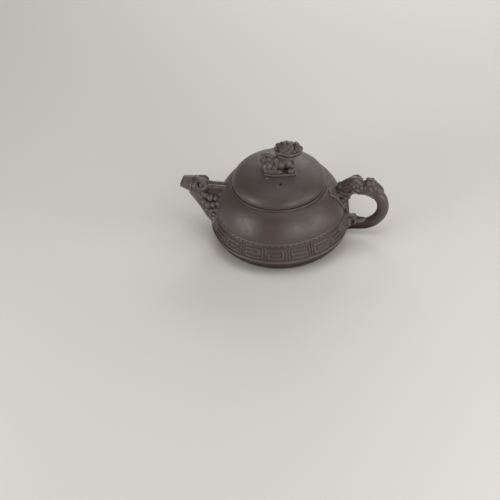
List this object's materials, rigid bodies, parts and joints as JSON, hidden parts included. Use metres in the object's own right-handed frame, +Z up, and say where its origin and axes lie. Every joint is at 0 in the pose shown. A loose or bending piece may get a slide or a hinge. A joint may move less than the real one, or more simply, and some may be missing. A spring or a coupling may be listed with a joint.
{
  "type": "clay teapot",
  "caption": "Squat round clay teapot with a domed lid and lion knob, a beast-head spout, a dragon loop handle and a moulded relief band.",
  "frame": {"origin": "centre of the foot, on the plane that the pot stands on", "axes": "+Z up along the axis of the body and lid, +X towards the handle, -X towards the spout"},
  "size_m": [0.161, 0.1078, 0.0887],
  "materials": {
    "body_clay": "unglazed, dark purple-brown clay with a soft sheen",
    "band_clay": "unglazed, matt in the hollows of the relief",
    "lid_clay": "unglazed, smooth and slightly polished",
    "knob_clay": "unglazed, modelled by hand",
    "trim_clay": "unglazed, modelled by hand"
  },
  "bodies": {
    "pot": {"base_plate": "body_clay", "foot_ring": "body_clay", "lower_wall": "body_clay", "band_fillet_lower": "band_clay", "relief_band": "band_clay", "band_fillet_upper": "band_clay", "shoulder": "body_clay", "mouth_collar": "body_clay", "strainer": "body_clay", "spout_tube": "body_clay", "spout_head": "trim_clay", "spout_jaw": "trim_clay", "spout_eyes": "trim_clay", "spout_horns": "trim_clay", "spout_mane": "trim_clay", "handle_loop": "body_clay", "handle_head": "trim_clay", "handle_jaw": "trim_clay", "handle_brows": "trim_clay", "handle_crest": "trim_clay", "handle_rosettes": "trim_clay", "handle_curl": "trim_clay"},
    "lid_seat": {"lid_flange": "lid_clay"},
    "lid": {"lid_dome": "lid_clay", "knob_plinth": "lid_clay", "lion_body": "knob_clay", "lion_legs": "knob_clay", "lion_head": "knob_clay", "lion_mane": "knob_clay", "lion_tail": "knob_clay"}
  },
  "joints": [
    {"name": "lid_lift", "type": "slide", "parent": "pot", "child": "lid_seat", "axis": [0, 0, 1], "range_m": [0, 0.06]},
    {"name": "lid_turn", "type": "hinge", "parent": "lid_seat", "child": "lid", "pos_m": [0, 0, 0.0504], "axis": [0, 0, 1], "continuous": true}
  ]
}
